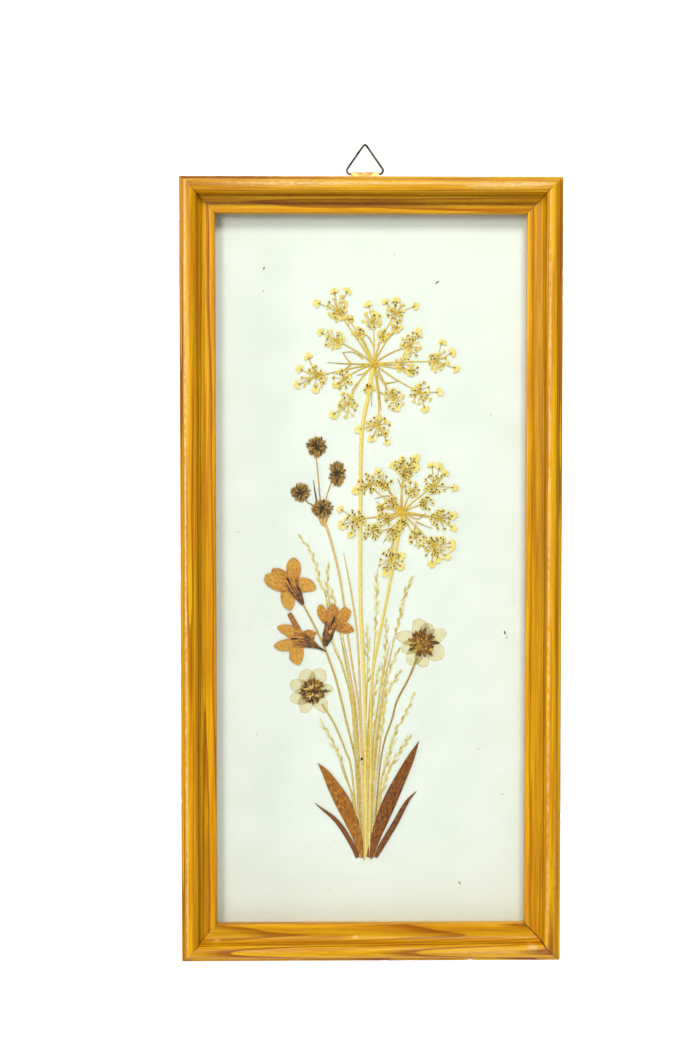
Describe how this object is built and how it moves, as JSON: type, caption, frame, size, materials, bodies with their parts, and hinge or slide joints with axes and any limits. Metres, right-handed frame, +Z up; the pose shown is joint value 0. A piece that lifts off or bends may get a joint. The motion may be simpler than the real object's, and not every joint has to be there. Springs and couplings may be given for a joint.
{
  "type": "pressed flower frame",
  "caption": "Tall narrow wooden picture frame with moulded rails, glazed over a pressed bouquet of dried umbels, grasses, bellflowers and leaves, hung by a small triangular wire ring.",
  "frame": {"origin": "inside the top bend of the hanging ring, where the wall nail carries the frame", "axes": "+X to the right as seen from the front, +Y into the wall, +Z up; the front faces -Y"},
  "size_m": [0.2, 0.0251, 0.4342],
  "materials": {
    "frame_wood": "honey-stained softwood moulding, satin varnish, worn at the arrises",
    "picture_glass": "clear float picture glass, polished",
    "cream_paper": "matt greenish cream paper, slightly aged",
    "hardboard": "brown hardboard, smooth pressed face",
    "brad_steel": "plain drawn steel wire, dull",
    "hanger_brass": "brass-plated sheet, rolled edge",
    "nail_brass": "brass-plated round nail head",
    "ring_wire": "grey-bronze wire, tarnished",
    "dried_umbel": "dry golden plant tissue, matt",
    "dried_straw": "dry straw-yellow culm, faint sheen",
    "dried_sedge": "brown and black-brown spikelets, matt",
    "dried_petal": "thin ochre petals with violet-brown veins",
    "dried_flower_head": "brown bracts and yellow florets, matt",
    "dried_leaf": "brown parallel-veined leaf, faint sheen"
  },
  "bodies": {
    "frame": {"rail_top": "frame_wood", "rail_bottom": "frame_wood", "rail_left": "frame_wood", "rail_right": "frame_wood", "glass_pane": "picture_glass", "mount_paper": "cream_paper", "backing_board": "hardboard", "brad_1": "brad_steel", "brad_2": "brad_steel", "brad_3": "brad_steel", "brad_4": "brad_steel", "brad_5": "brad_steel", "brad_6": "brad_steel", "brad_7": "brad_steel", "brad_8": "brad_steel", "hanger_plate": "hanger_brass", "plate_nail_left": "nail_brass", "plate_nail_right": "nail_brass", "wild_carrot_tall": "dried_umbel", "wild_carrot_short": "dried_umbel", "sedge": "dried_sedge", "sedge_blade": "dried_straw", "bellflower_stem": "dried_straw", "bellflower_top": "dried_petal", "bellflower_left": "dried_petal", "bellflower_right": "dried_petal", "ray_flower_left_stem": "dried_straw", "ray_flower_left": "dried_flower_head", "ray_flower_right_stem": "dried_straw", "ray_flower_right": "dried_flower_head", "grass_1": "dried_straw", "grass_2": "dried_straw", "grass_3": "dried_straw", "grass_4": "dried_straw", "grass_5": "dried_straw", "grass_6": "dried_straw", "grass_7": "dried_straw", "grass_8": "dried_straw", "grass_9": "dried_straw", "grass_10": "dried_straw", "grass_11": "dried_straw", "grass_12": "dried_straw", "grass_13": "dried_straw", "leaf_left_tall": "dried_leaf", "leaf_left_short": "dried_leaf", "leaf_right_tall": "dried_leaf", "leaf_right_short": "dried_leaf"},
    "ring": {"hanger_ring": "ring_wire"}
  },
  "joints": [
    {"name": "ring_swing", "type": "hinge", "parent": "frame", "child": "ring", "pos_m": [0, 0, -0.01471], "axis": [1, 0, 0], "range_deg": [-175, 106]}
  ]
}
